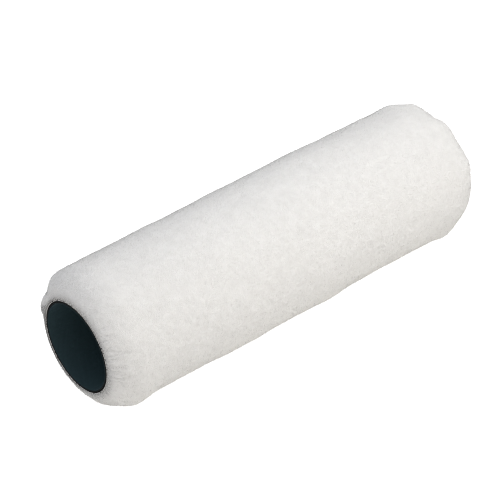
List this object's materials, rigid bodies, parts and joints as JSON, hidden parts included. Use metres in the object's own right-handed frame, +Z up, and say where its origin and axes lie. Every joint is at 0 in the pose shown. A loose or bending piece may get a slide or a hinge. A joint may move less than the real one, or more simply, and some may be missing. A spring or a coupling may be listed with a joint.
{
  "type": "paint roller sleeve",
  "caption": "Open-ended tubular sleeve of dense white plush pile on a thin wound plastic core, slid over a roller frame's cage to spread paint.",
  "frame": {"origin": "centre of the underside, where the lying sleeve rests", "axes": "+X along the sleeve's axis, +Z up"},
  "size_m": [0.2286, 0.072, 0.0714],
  "materials": {
    "dark_plastic": "satin, faint winding lines, sawn at the ends",
    "adhesive": "translucent amber, smooth",
    "knit": "fine weft knit, cut edge",
    "plush": "dense soft white plush, combed"
  },
  "bodies": {
    "root": {"core_inner_strip": "dark_plastic", "core_adhesive": "adhesive", "core_outer_strip": "dark_plastic", "fabric_adhesive": "adhesive", "backing_strip": "knit", "pile": "plush"}
  },
  "joints": []
}
